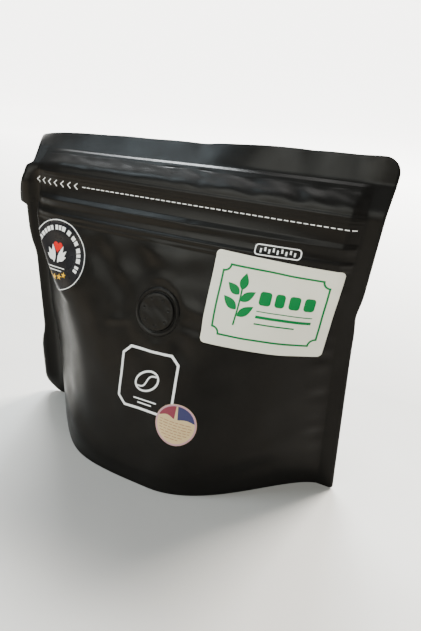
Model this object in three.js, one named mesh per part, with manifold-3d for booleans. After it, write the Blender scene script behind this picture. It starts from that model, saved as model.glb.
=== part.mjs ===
// A filled stand-up coffee pouch in matt black film: flat side seals, a sealed header that leans
// back, a press-to-close zipper with a tear tab, a round degassing valve and three stuck-on labels.
// Millimetres, +Z up, the front faces -Y, the origin is the middle of the patch that it stands on.
import * as THREE from 'three';
import { mergeVertices } from 'three/addons/utils/BufferGeometryUtils.js';
import Module from 'manifold-3d';

const wasm = await Module();
wasm.setup();

// The pouch
const HALF_WIDTH = 93.2; // of the flat film
const FILM_HEIGHT = 168;
const SIDE_SEAL = 7.2; // width of the flat seal down each side
const HALF_FILM = 0.3; // half of the thickness where front and back are sealed together
const INNER = HALF_WIDTH - SIDE_SEAL; // from the middle to a side seal's inner edge

// Its outline
const TAB_REACH = 3.9; // how far the tear tab stands out at the left
const TOP_CORNER_LEFT = 1.6; // corner radii
const TOP_CORNER_RIGHT = 7.5;
const FOOT_CORNER_LEFT = 10;
const FOOT_CORNER_RIGHT = 2;

// The belly, measured out from the plane of the side seals
const FRONT_DEPTH = 47;
const BACK_DEPTH = 42;
const BELLY_TAPER = 0.29; // depth lost for each millimetre of height
const BELLY_TOP = 135; // where the contents end, just above the zipper
const FOOT_TUCK = 1.2; // the panels pull in a little at their lower edge
const FOOT_SHIFT = 8; // the foot's deepest point lies right of the middle

// The zipper, in height on the film
const ZIP_RIDGE = 128.6;
const ZIP_RIB = 121.8;
const TAPE_LOW = 117.5;
const TAPE_HIGH = 142.5;
const HEADER_LINE = 156.4; // lower edge of the top seal

// Above the zipper the film leans back, in degrees at its left and right ends
const LEAN_START = 140;
const LOOSE_LEAN = [51, 35];
const HEADER_LEAN = [42, 23];
const HEADER_CORNER_LEAN = [18, -13]; // added at the header's two ends

// The gusset under the pouch
const GUSSET_LOW = 5; // height of the gusset's seal at the middle, and what it gains at the sides
const GUSSET_GAIN = 22;
const LIP = 0.9; // thickness of the double film along the lower edge

// Parts on the front panel: centre across, centre in height, and size
const VALVE = { x: -0.2, h: 87.6, radius: 12.1, disc: 9.3, thick: 1.1 };
const ROUND_STICKER = { x: -67, h: 101.2, radius: 19.8 };
const SMALL_STICKER = { x: 18.6, h: 37, radius: 10.8 };
const LABEL = { x: 52.2, h: 98.6, width: 57.7, height: 43.2, corner: 2.2, turn: -2.6 }; // turn in degrees
const STUCK_GAP = 0.3; // clearance to the film below, and thickness, both straight out to the front
const STUCK_THICK = 0.45;

// Mesh density: [height reached, rows up to it], and columns across
const ROW_BANDS = [[1, 1], [9, 3], [114, 20], [119, 3], [126, 6], [132, 5], [141, 4], [153, 6], [158, 5],
  [160.5, 1], [168, 5]];
const FIN_COLUMNS = [0, 0.45];
const BELLY_COLUMNS = 30;

const radians = THREE.MathUtils.degToRad;
const mix = THREE.MathUtils.lerp;

function ramp(from, to, value) {
  return THREE.MathUtils.smoothstep(value, from, to);
}

function bump(value, centre, width) {
  return Math.exp(-(((value - centre) / width) ** 2));
}

// The smaller or larger of two values, with the corner between them rounded off.
function softMin(a, b, round) {
  return 0.5 * (a + b - Math.hypot(a - b, round));
}

function softMax(a, b, round) {
  return 0.5 * (a + b + Math.hypot(a - b, round));
}

// 0 below -round, the value itself above round, and a parabola between.
function easeIn(value, round) {
  return value > round ? value : Math.max(value + round, 0) ** 2 / (4 * round);
}

// How much a corner of a radius cuts off an edge at a distance from the edge's end.
function cornerCut(radius, fromEnd) {
  const inside = Math.max(0, radius - fromEnd);
  return radius - Math.sqrt(Math.max(0, radius * radius - inside * inside));
}

// The right seal pulls in evenly from the foot up to 98 mm, and comes out again above.
function pinchRight(h) {
  return softMin(0.049 * h, 0.0727 * (151.3 - h), 1) + bump(h, 98.5, 6);
}

function pinchLeft(h) {
  return 2.6 * (ramp(32, 50, h) - ramp(92, 112, h)) - 1.2;
}

function edgeRight(h) {
  const corners = cornerCut(TOP_CORNER_RIGHT, FILM_HEIGHT - h) + cornerCut(FOOT_CORNER_RIGHT, h);
  return HALF_WIDTH - pinchRight(h) - corners;
}

// The left edge has the tear tab, steps in above it, and comes out again towards the top corner.
function edgeLeft(h) {
  const tab = TAB_REACH * ramp(121.9, 124.2, h) * (1 - ramp(126.5, 146, h));
  const waist = 2.95 * ramp(142.8, 145.8, h) - 0.28 * easeIn(h - 146.5, 2) - 0.22 * easeIn(h - 157, 2);
  const corners = cornerCut(TOP_CORNER_LEFT, FILM_HEIGHT - h) + cornerCut(FOOT_CORNER_LEFT, h);
  return -(HALF_WIDTH - pinchLeft(h) + tab - waist - corners);
}

// Depth of the belly at its fullest, at a height.
function bellyDepth(depth, h) {
  const filled = depth - BELLY_TAPER * h - FOOT_TUCK * (1 - ramp(0, 9, h));
  return softMax(softMin(filled, 0.5 * (BELLY_TOP - h), 3), 0, 2);
}

// 1 between the side seals and 0 on them.
function betweenSeals(x, h, blend) {
  const right = INNER - pinchRight(h);
  return ramp(-INNER - 0.3, -INNER + blend, x) * (1 - ramp(right - blend, right + 0.3, x));
}

// The front belly is rounded off at the right. At the left a steep flank cuts it off along a
// crease that starts at the zipper's end, runs down and inwards, and fades out into the foot.
function frontBelly(x, h) {
  const high = Math.min(h / 100, 1);
  const peak = FOOT_SHIFT * (1 - ramp(0, 90, h));
  const depth = bellyDepth(FRONT_DEPTH, h);
  const across = x < peak
    ? Math.min((peak - x) / (INNER + peak), 1)
    : Math.min((x - peak) / (INNER - pinchRight(h) - peak), 1);
  const flat = ramp(30, 95, h);
  const panel = x < peak
    ? depth * (1 - mix(1, 0.3, flat) * across ** mix(4, 2, flat))
    : depth * (1 - across ** (2 + 0.8 * high)) ** (1.6 - 0.5 * high);
  const reach = (0.95 + 0.5 * ramp(0, 75, h)) * Math.min(Math.max((120 - h) / 42, 0.02), 1) ** 0.8;
  const flank = easeIn((x + INNER) / reach, 0.4 + 2.6 * (1 - ramp(50, 112, h)));
  const round = 10 - 9 * ramp(15, 88, h);
  return Math.max(softMin(panel, flank, round), 0);
}

function backBelly(x, h) {
  const side = x < 0 ? INNER : INNER - pinchRight(h);
  const across = Math.min(Math.abs(x) / side, 1);
  return bellyDepth(BACK_DEPTH, h) * (1 - across ** 2.6) ** 1.3;
}

// The film stays flat over the valve's rigid seat: a plane through the belly at the valve.
const SEAT_STEP = 10;
const SEAT_DEPTH = frontBelly(VALVE.x, VALVE.h);
const SEAT_RISE = (frontBelly(VALVE.x, VALVE.h + SEAT_STEP) - frontBelly(VALVE.x, VALVE.h - SEAT_STEP))
  / (2 * SEAT_STEP);

function seatedBelly(x, h) {
  const distance = Math.hypot(x - VALVE.x, h - VALVE.h);
  const plane = SEAT_DEPTH + SEAT_RISE * (h - VALVE.h);
  return mix(plane, frontBelly(x, h), ramp(13, 21, distance));
}

// What the zipper raises on the front: a broad ridge, a rib and the step of its tape.
function zipperRelief(x, h) {
  const tape = 0.5 * ramp(TAPE_LOW, TAPE_LOW + 1.5, h) * (1 - ramp(TAPE_HIGH, TAPE_HIGH + 1.5, h));
  const ridges = 1.5 * bump(h, ZIP_RIDGE, 2.4) + 0.9 * bump(h, ZIP_RIB, 1.9);
  return (tape + ridges) * betweenSeals(x, h, 1.2);
}

// Air keeps front and back apart from the belly's top up to the header's seal. It thins out over
// the loose film, and ends with a step at the seal.
function headSpace(x, h, gap) {
  const loose = 0.72 * (1 - ramp(143.5, HEADER_LINE - 1.8, h));
  const step = 0.28 * (1 - ramp(HEADER_LINE - 1.6, HEADER_LINE + 0.3, h));
  return gap * ramp(104, 120, h) * (loose + step) * betweenSeals(x, h, 4);
}

function frontDepth(x, h) {
  return HALF_FILM + seatedBelly(x, h) + headSpace(x, h, 2) + zipperRelief(x, h);
}

function backDepth(x, h) {
  return HALF_FILM + backBelly(x, h) + headSpace(x, h, 1.4);
}

// How far the film leans back from upright at a point, in radians.
function leanAngle(x, h) {
  const loose = mix(LOOSE_LEAN[0], LOOSE_LEAN[1], ramp(-85, 85, x)) * ramp(LEAN_START, 147, h);
  const header = mix(HEADER_LEAN[0], HEADER_LEAN[1], ramp(0, 42, x))
    + HEADER_CORNER_LEAN[0] * Math.exp(-(x + HALF_WIDTH) / 20)
    + HEADER_CORNER_LEAN[1] * ramp(76, 90, x);
  return radians(mix(loose, header, ramp(155.9, 158.4, h)));
}

// The left side seal curls forward below the header.
function finCurl(x, h) {
  const outward = THREE.MathUtils.clamp((-INNER - x) / SIDE_SEAL, 0, 1);
  return -3.2 * outward ** 1.5 * ramp(0, 14, h) * (1 - ramp(134, 146, h));
}

// The sheet midway between front and back: summed up along the film in small steps from where it
// begins to lean.
const LEAN_STEPS = 26;

function middle(x, h) {
  const start = Math.min(h, LEAN_START);
  const step = (h - start) / LEAN_STEPS;
  let y = finCurl(x, h);
  let z = start;
  for (let i = 0; i < LEAN_STEPS; i += 1) {
    const angle = leanAngle(x, start + (i + 0.5) * step);
    y += Math.sin(angle) * step;
    z += Math.cos(angle) * step;
  }
  return { y, z, angle: leanAngle(x, h) };
}

// A point of the pouch's skin: out from the middle sheet by a depth, forward or back.
function skin(x, h, depth, side) {
  const sheet = middle(x, h);
  return [
    x,
    sheet.y - side * depth * Math.cos(sheet.angle),
    sheet.z + side * depth * Math.sin(sheet.angle),
  ];
}

function rowHeights() {
  const rows = [0];
  let low = 0;
  for (const [high, count] of ROW_BANDS) {
    for (let i = 1; i <= count; i += 1) rows.push(mix(low, high, i / count));
    low = high;
  }
  return rows;
}

// Positions across the film at a height: the seals' columns, and the belly's, closer at its sides.
function columnPlaces(h) {
  const left = edgeLeft(h);
  const right = edgeRight(h);
  const innerLeft = Math.max(-INNER, left + 0.6);
  const innerRight = Math.min(INNER - pinchRight(h), right - 0.6);
  const places = FIN_COLUMNS.map((share) => mix(left, innerLeft, share));
  for (let i = 0; i <= BELLY_COLUMNS; i += 1) {
    const even = i / BELLY_COLUMNS;
    const eased = 0.5 - 0.5 * Math.cos(Math.PI * even);
    places.push(mix(innerLeft, innerRight, mix(even, eased, 0.45)));
  }
  for (const share of [...FIN_COLUMNS].reverse()) places.push(mix(right, innerRight, share));
  return places;
}

// The underside at one column: down the front lip, up its skirt to the gusset, across, and back.
// The gusset sags to the table at the middle, where the pouch stands.
function undersideColumn(x) {
  const front = frontDepth(x, 0);
  const back = backDepth(x, 0);
  const deep = front + back;
  const lip = Math.min(LIP, 0.2 * deep);
  const seal = GUSSET_LOW + GUSSET_GAIN * Math.min(Math.abs(x) / INNER, 1) ** 2.4;
  const height = Math.max(0, Math.min(seal, 0.8 * (deep - 3)));
  const sag = 1 - 0.7 * ramp(32, 58, Math.abs(x));
  const curl = finCurl(x, 0);
  const frontTop = curl - frontDepth(x, height) + 1.6 * lip;
  const backTop = curl + backDepth(x, height) - 1.6 * lip;
  const points = [[x, curl - front + lip, 0], [x, frontTop, height]];
  for (const share of [0.22, 0.5, 0.78]) {
    points.push([x, mix(frontTop, backTop, share), height * (1 - sag)]);
  }
  points.push([x, backTop, height], [x, curl + back - lip, 0]);
  return points;
}

function indexedGeometry(points, triangles) {
  const geometry = new THREE.BufferGeometry();
  geometry.setAttribute('position', new THREE.Float32BufferAttribute(points.flat(), 3));
  geometry.setIndex(triangles.flat());
  geometry.computeVertexNormals();
  return geometry;
}

// The pouch as rings: each row runs along the front from left to right and returns along the back.
function pouchGeometry() {
  const rows = rowHeights();
  const points = [];
  const triangles = [];
  const quad = (a, b, c, d) => triangles.push([a, b, c], [a, c, d]);
  for (const h of rows) {
    const places = columnPlaces(h);
    for (const x of places) points.push(skin(x, h, frontDepth(x, h), 1));
    for (const x of [...places].reverse()) points.push(skin(x, h, backDepth(x, h), -1));
  }
  const places = columnPlaces(0);
  const last = places.length - 1;
  const ring = 2 * places.length;
  const top = (rows.length - 1) * ring;
  for (let row = 0; row < top; row += ring) {
    for (let i = 0; i < ring; i += 1) {
      const next = (i + 1) % ring;
      quad(row + i, row + next, row + ring + next, row + ring + i);
    }
  }
  for (let i = 0; i < last; i += 1) {
    quad(top + i, top + i + 1, top + ring - 2 - i, top + ring - 1 - i);
  }
  const columns = [];
  for (let i = 1; i < last; i += 1) {
    const first = points.length;
    const inner = undersideColumn(places[i]);
    points.push(...inner);
    columns.push([i, ...inner.map((_, k) => first + k), ring - 1 - i]);
  }
  for (let i = 0; i + 1 < columns.length; i += 1) {
    for (let k = 0; k + 1 < columns[i].length; k += 1) {
      quad(columns[i][k], columns[i][k + 1], columns[i + 1][k + 1], columns[i + 1][k]);
    }
  }
  const half = 4;
  for (const [column, front, back, turn] of [
    [columns[0], 0, ring - 1, true],
    [columns[columns.length - 1], last, last + 1, false],
  ]) {
    const add = (a, b, c) => triangles.push(turn ? [a, b, c] : [a, c, b]);
    for (let k = 0; k + 1 < column.length; k += 1) {
      add(k < half ? front : back, column[k + 1], column[k]);
    }
    add(front, back, column[half]);
  }
  return indexedGeometry(points, triangles);
}

function finish(colour, roughness) {
  return new THREE.MeshStandardMaterial({ color: colour, roughness, metalness: 0 });
}

function named(name, geometry, material) {
  const mesh = new THREE.Mesh(geometry, material);
  mesh.name = name;
  return mesh;
}

const pouch = named('pouch', pouchGeometry(), finish(0x1c1b1a, 0.45));

// Walks a length along the film, across it from a start, and returns the place reached.
function walkAcross(start, h, length) {
  const steps = 40;
  let x = start;
  for (let i = 0; i < steps; i += 1) {
    const slope = (frontBelly(x + 0.2, h) - frontBelly(x - 0.2, h)) / 0.4;
    x += length / steps / Math.hypot(1, slope);
  }
  return x;
}

// The front skin below the zipper, moved out to the front to where the stuck-on labels lie.
function stuckLayer() {
  const rows = rowHeights().filter((h) => h > 15 && h < 126);
  const points = [];
  const triangles = [];
  const quad = (a, b, c, d) => triangles.push([a, b, c], [a, c, d]);
  for (const lift of [STUCK_GAP + STUCK_THICK, STUCK_GAP]) {
    for (const h of rows) {
      for (const x of columnPlaces(h)) {
        const [px, py, pz] = skin(x, h, frontDepth(x, h), 1);
        points.push([px, py - lift, pz]);
      }
    }
  }
  const across = columnPlaces(0).length;
  const under = rows.length * across;
  for (let row = 0; row + 1 < rows.length; row += 1) {
    const a = row * across;
    for (let i = a; i + 1 < a + across; i += 1) {
      quad(i, i + 1, i + across + 1, i + across);
      quad(under + i, under + i + across, under + i + across + 1, under + i + 1);
    }
    quad(a, a + across, under + a + across, under + a);
    const b = a + across - 1;
    quad(b, under + b, under + b + across, b + across);
  }
  const top = under - across;
  for (let i = 0; i + 1 < across; i += 1) {
    quad(i, under + i, under + i + 1, i + 1);
    quad(top + i, top + i + 1, under + top + i + 1, under + top + i);
  }
  return toManifold(indexedGeometry(points, triangles));
}

function toManifold(geometry) {
  const vertProperties = new Float32Array(geometry.attributes.position.array);
  const triVerts = new Uint32Array(geometry.index.array);
  return new wasm.Manifold(new wasm.Mesh({ numProp: 3, vertProperties, triVerts }));
}

function fromManifold(manifold) {
  const mesh = manifold.getMesh();
  const geometry = new THREE.BufferGeometry();
  geometry.setAttribute('position', new THREE.Float32BufferAttribute(mesh.vertProperties, 3));
  geometry.setIndex([...mesh.triVerts]);
  geometry.computeVertexNormals();
  return geometry;
}

// A label is cut out of the stuck layer along its outline, given flat round its centre and turned.
function stuckLabel(layer, centre, outline) {
  const rise = (frontBelly(centre.x, centre.h + 5) - frontBelly(centre.x, centre.h - 5)) / 10;
  const upright = 1 / Math.hypot(1, rise);
  const turn = radians(centre.turn ?? 0);
  const onFilm = outline.map(([a, b]) => {
    const h = centre.h + (a * Math.sin(turn) + b * Math.cos(turn)) * upright;
    return [walkAcross(centre.x, h, a * Math.cos(turn) - b * Math.sin(turn)), h];
  });
  const shape = new THREE.Shape(onFilm.map(([x, z]) => new THREE.Vector2(x, z)));
  const cutter = new THREE.ExtrudeGeometry(shape, { depth: 80, bevelEnabled: false });
  cutter.rotateX(Math.PI / 2);
  cutter.deleteAttribute('normal');
  cutter.deleteAttribute('uv');
  return fromManifold(layer.intersect(toManifold(mergeVertices(cutter))));
}

function circleOutline(radius, sides) {
  return Array.from({ length: sides }, (_, i) => {
    const turn = (2 * Math.PI * i) / sides;
    return [radius * Math.cos(turn), radius * Math.sin(turn)];
  });
}

function roundedOutline(width, height, corner) {
  const shape = new THREE.Shape();
  const [w, h] = [width / 2 - corner, height / 2 - corner];
  shape.absarc(w, h, corner, 0, Math.PI / 2);
  shape.absarc(-w, h, corner, Math.PI / 2, Math.PI);
  shape.absarc(-w, -h, corner, Math.PI, 1.5 * Math.PI);
  shape.absarc(w, -h, corner, 1.5 * Math.PI, 2 * Math.PI);
  return shape.getSpacedPoints(56).slice(0, -1).map((point) => [point.x, point.y]);
}

// The valve: a flat flange, a groove and a raised disc with a soft edge, turned about its axis.
function valveMesh() {
  const { radius, disc, thick } = VALVE;
  const profile = [
    [0, 0], [radius - 0.3, 0], [radius, 0.25], [radius - 0.35, 0.6], [disc + 0.9, 0.7],
    [disc + 0.45, 0.4], [disc, 0.5], [disc - 0.4, thick - 0.1], [disc - 1, thick], [0, thick],
  ].map(([r, y]) => new THREE.Vector2(r, y));
  const mesh = named('valve', new THREE.LatheGeometry(profile, 40), finish(0x1a1a1a, 0.4));
  const outward = new THREE.Vector3(0, -1, -SEAT_RISE).normalize();
  mesh.quaternion.setFromUnitVectors(new THREE.Vector3(0, 1, 0), outward);
  mesh.position.set(VALVE.x, -(HALF_FILM + SEAT_DEPTH), VALVE.h).addScaledVector(outward, 0.35);
  return mesh;
}

const layer = stuckLayer();
const roundSticker = stuckLabel(layer, ROUND_STICKER, circleOutline(ROUND_STICKER.radius, 48));
const smallSticker = stuckLabel(layer, SMALL_STICKER, circleOutline(SMALL_STICKER.radius, 32));
const rectangle = stuckLabel(layer, LABEL, roundedOutline(LABEL.width, LABEL.height, LABEL.corner));

const group = new THREE.Group();
group.add(
  pouch,
  valveMesh(),
  named('round_sticker', roundSticker, finish(0x15151a, 0.3)),
  named('rectangular_label', rectangle, finish(0xe6e2d8, 0.6)),
  named('small_sticker', smallSticker, finish(0xd9b896, 0.3)),
);

export default group;
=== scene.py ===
"""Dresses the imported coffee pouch: film, valve, labels, print, and a plain studio round it.

Lengths inside the shape functions are millimetres; meshes are written in metres. The pouch faces
-Y. A place on its film is (x, h): x across from the middle, h up along the film from the foot.
"""
from math import cos, pi, radians, sin, tau

import bpy
import numpy as np
from bpy.props import FloatProperty, FloatVectorProperty, PointerProperty
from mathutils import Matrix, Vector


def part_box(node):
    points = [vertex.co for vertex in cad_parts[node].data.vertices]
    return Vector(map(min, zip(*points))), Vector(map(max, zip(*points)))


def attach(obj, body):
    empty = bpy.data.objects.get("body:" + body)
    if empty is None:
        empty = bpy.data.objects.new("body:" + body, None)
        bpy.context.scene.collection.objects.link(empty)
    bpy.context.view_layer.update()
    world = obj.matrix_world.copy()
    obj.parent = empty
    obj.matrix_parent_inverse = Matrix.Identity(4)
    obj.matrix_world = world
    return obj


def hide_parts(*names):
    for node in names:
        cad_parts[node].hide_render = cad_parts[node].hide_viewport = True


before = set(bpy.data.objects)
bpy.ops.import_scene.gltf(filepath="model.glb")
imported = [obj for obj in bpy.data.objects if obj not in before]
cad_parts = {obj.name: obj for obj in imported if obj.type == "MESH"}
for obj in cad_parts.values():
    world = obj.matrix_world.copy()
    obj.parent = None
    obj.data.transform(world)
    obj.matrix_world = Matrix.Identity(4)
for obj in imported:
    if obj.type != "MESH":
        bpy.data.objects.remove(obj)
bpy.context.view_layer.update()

bl_info = {
    "name": "Coffee Pouch",
    "version": (1, 0, 0),
    "blender": (4, 5, 0),
    "location": "3D Viewport > Sidebar > Pouch",
    "description": "Builds a filled stand-up coffee pouch on its packed frame",
    "category": "Add Mesh",
}

MM = 0.001
MM_PER_METRE = 1000.0
BODY = "root"
CAD_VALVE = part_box("valve")


# Settings

def length(name, description, millimetres):
    return FloatProperty(name=name, description=description, default=millimetres * MM, min=0.0,
                         precision=4, unit='LENGTH', subtype='DISTANCE')


def colour(name, description, red, green, blue):
    return FloatVectorProperty(name=name, description=description, default=(red, green, blue, 1.0),
                               size=4, min=0.0, max=1.0, subtype='COLOR')


class PouchSizes(bpy.types.PropertyGroup):
    """Sizes of the pouch and of what is stuck on it."""
    width: length("Width", "Across the flat film, over both side seals", 186.4)
    height: length("Film height", "Along the film from the foot to the top edge", 168.0)
    seal: length("Side seal", "Width of the flat seal down each side", 7.2)
    front_depth: length("Front depth", "How far the front bulges at the foot", 47.0)
    back_depth: length("Back depth", "How far the back bulges at the foot", 42.0)
    valve: length("Valve", "Outer size of the degassing valve",
                  (CAD_VALVE[1].x - CAD_VALVE[0].x) / MM)
    label_width: length("Label width", "Width of the rectangular label", 57.7)
    label_height: length("Label height", "Height of the rectangular label", 43.2)
    round_sticker: length("Round sticker", "Size of the black round sticker", 39.6)
    small_sticker: length("Small sticker", "Size of the beige round sticker", 21.6)


class PouchColours(bpy.types.PropertyGroup):
    """Colours of the film, the labels and the print."""
    film: colour("Film", "Matt black film", 0.0050, 0.0047, 0.0043)
    valve: colour("Valve", "Film over the valve", 0.0054, 0.0051, 0.0047)
    white_ink: colour("White ink", "Print on the film", 0.80, 0.80, 0.78)
    paper: colour("Paper", "Rectangular label", 0.70, 0.68, 0.57)
    green: colour("Green", "Print on the rectangular label", 0.001, 0.15, 0.035)
    sticker: colour("Sticker", "Black round sticker", 0.008, 0.008, 0.010)
    red: colour("Red", "Heart", 0.58, 0.006, 0.004)
    yellow: colour("Yellow", "Stars", 0.75, 0.40, 0.004)
    beige: colour("Beige", "Small sticker", 0.54, 0.40, 0.21)
    brown: colour("Brown", "Small sticker's lines", 0.30, 0.14, 0.07)
    lilac: colour("Lilac", "Small sticker's rim", 0.44, 0.24, 0.28)
    wine: colour("Wine", "Small sticker's upper left", 0.20, 0.03, 0.05)
    navy: colour("Navy", "Small sticker's upper right", 0.035, 0.035, 0.10)
    floor: colour("Floor", "Studio floor", 0.35, 0.335, 0.31)


# Curves that the shapes are worked out from

def ramp(low, high, value):
    """0 below low, 1 above high, and a smooth S between."""
    t = np.clip((value - low) / (high - low), 0.0, 1.0)
    return t * t * (3.0 - 2.0 * t)


def plateau(rise_from, rise_to, fall_from, fall_to, value):
    """Up from 0 to 1 along one ramp, and back to 0 along another."""
    return ramp(rise_from, rise_to, value) * (1 - ramp(fall_from, fall_to, value))


def bump(value, centre, width):
    """A bell curve of height 1."""
    return np.exp(-(((value - centre) / width) ** 2))


def soft_min(a, b, blend):
    """The smaller of two values, with the corner between them rounded off."""
    return 0.5 * (a + b - np.hypot(a - b, blend))


def soft_max(a, b, blend):
    """The larger of two values, with the corner between them rounded off."""
    return 0.5 * (a + b + np.hypot(a - b, blend))


def mix(a, b, share):
    return a + (b - a) * share


def unit(vectors):
    return vectors / np.linalg.norm(vectors, axis=-1, keepdims=True)


def ease_in(value, blend):
    """0 below -blend, the value itself above blend, and a parabola between."""
    return np.where(value > blend, value, np.maximum(value + blend, 0.0) ** 2 / (4 * blend))


def facet(low, high, value, blend):
    """0 below low, 1 above high, straight between, and rounded at both ends."""
    return (ease_in(value - low, blend) - ease_in(value - high, blend)) / (high - low)


def corner_cut(radius, from_end):
    """How much a rounded corner cuts off an edge, at a distance from the edge's end."""
    inside = np.maximum(0.0, radius - from_end)
    return radius - np.sqrt(np.maximum(0.0, radius * radius - inside * inside))


def waves(x, h, size, seed, count=10):
    """Uneven soft waves of about height 1: a sum of sines with seeded directions and phases."""
    draw = np.random.default_rng(seed)
    total = 0.0
    for _ in range(count):
        turn, phase, scale = draw.uniform(0, tau), draw.uniform(0, tau), draw.uniform(0.6, 1.7)
        step = tau / (size * scale)
        total = total + np.sin(step * (x * cos(turn) + h * sin(turn)) + phase)
    return total / np.sqrt(count / 2)


def fold(x, h, start, end, width, height):
    """A soft ridge or, with a negative height, a valley along a line: a bell across the line
    that fades towards its ends."""
    (x0, h0), (x1, h1) = start, end
    along = ((x - x0) * (x1 - x0) + (h - h0) * (h1 - h0)) / ((x1 - x0) ** 2 + (h1 - h0) ** 2)
    t = np.clip(along, 0, 1)
    distance = np.hypot(x - mix(x0, x1, t), h - mix(h0, h1, t))
    return height * bump(distance, 0, width) * (0.4 + 2.4 * t * (1 - t))


# Folds of the front panel, as (start, end, width, height)
VALVE_FOLDS = (
    ((-11, 122.5), (5, 102), 8, 1.5),
    ((-31, 110), (-20, 97), 5.5, 0.6),
    ((-39, 107), (-18, 88), 6, -0.7),
    ((-28, 77), (-14, 81.5), 2.4, 0.5),
    ((12.5, 84.5), (25, 83), 2.6, -0.6),
    ((12, 94), (25, 90.5), 2.6, 0.5),
    ((2, 75.5), (-1, 67), 2.4, 0.4),
    ((10, 78), (20, 68), 3.2, -0.45),
)
FOOT_FOLDS = (
    ((-74, 24), (-27, 10.5), 4.6, 1.1),
    ((-66, 34), (-40, 24), 5, -0.6),
    ((48, 20), (78, 34), 5, 0.7),
    ((30, 8), (66, 16), 4, -0.5),
)
# Dents of the loose film under the header, as (x, width, height)
HEADER_DENTS = (
    (-56, 3.4, -0.5), (-47, 3, -0.5), (-28, 4, -0.6), (-15, 5, 0.3), (-6, 2.4, -0.7),
    (1.5, 2.6, 0.5), (9, 2.2, -0.8), (22, 5, 0.4), (35, 3.2, -0.9), (44, 4, 0.5),
    (54, 3.4, -0.8), (60, 2.4, 0.4), (66, 3, -0.6), (76, 3.6, 0.3),
)


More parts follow.
